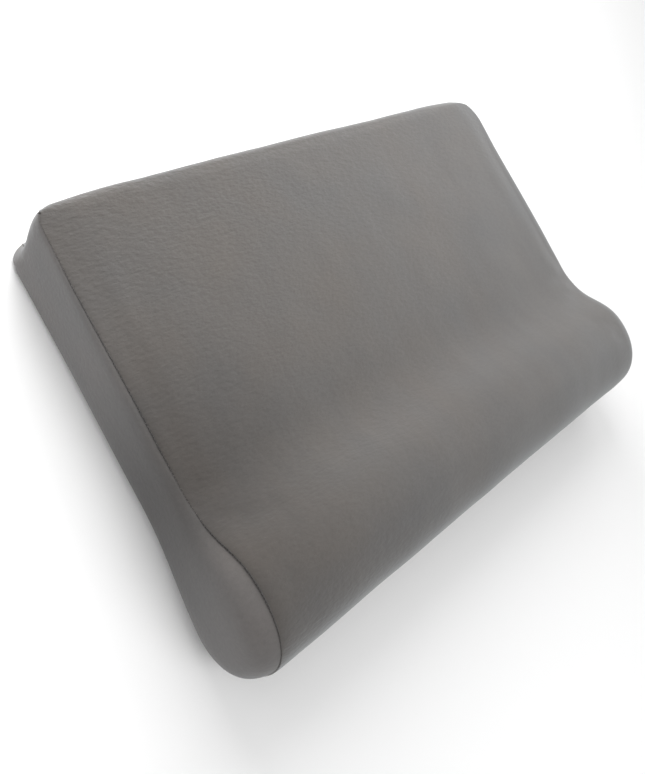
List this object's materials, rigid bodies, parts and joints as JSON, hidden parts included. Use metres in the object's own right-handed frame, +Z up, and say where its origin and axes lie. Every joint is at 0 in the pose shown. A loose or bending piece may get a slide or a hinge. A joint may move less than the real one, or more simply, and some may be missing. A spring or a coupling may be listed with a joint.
{
  "type": "contour neck pillow",
  "caption": "Foam-filled contour neck pillow with a high round roll along the front, a shallow waist and a flat back slab, in brushed knit with a cloth panel at each end.",
  "frame": {"origin": "on the surface the pillow lies on, under the middle of its length and depth", "axes": "+Z up out of the lying face, +X along the pillow's length from end panel to end panel, -Y towards the high roll, +Y towards the flat back edge"},
  "size_m": [0.6434, 0.4039, 0.1066],
  "materials": {
    "wrap_cloth": "grey brushed velour knit, short soft nap, matt with a faint sheen at the edges",
    "panel_cloth": "the same grey brushed knit with its nap the other way, a shade cooler"
  },
  "bodies": {
    "root": {"filled_body": "wrap_cloth", "end_panel_left": "panel_cloth", "end_panel_right": "panel_cloth"}
  },
  "joints": []
}
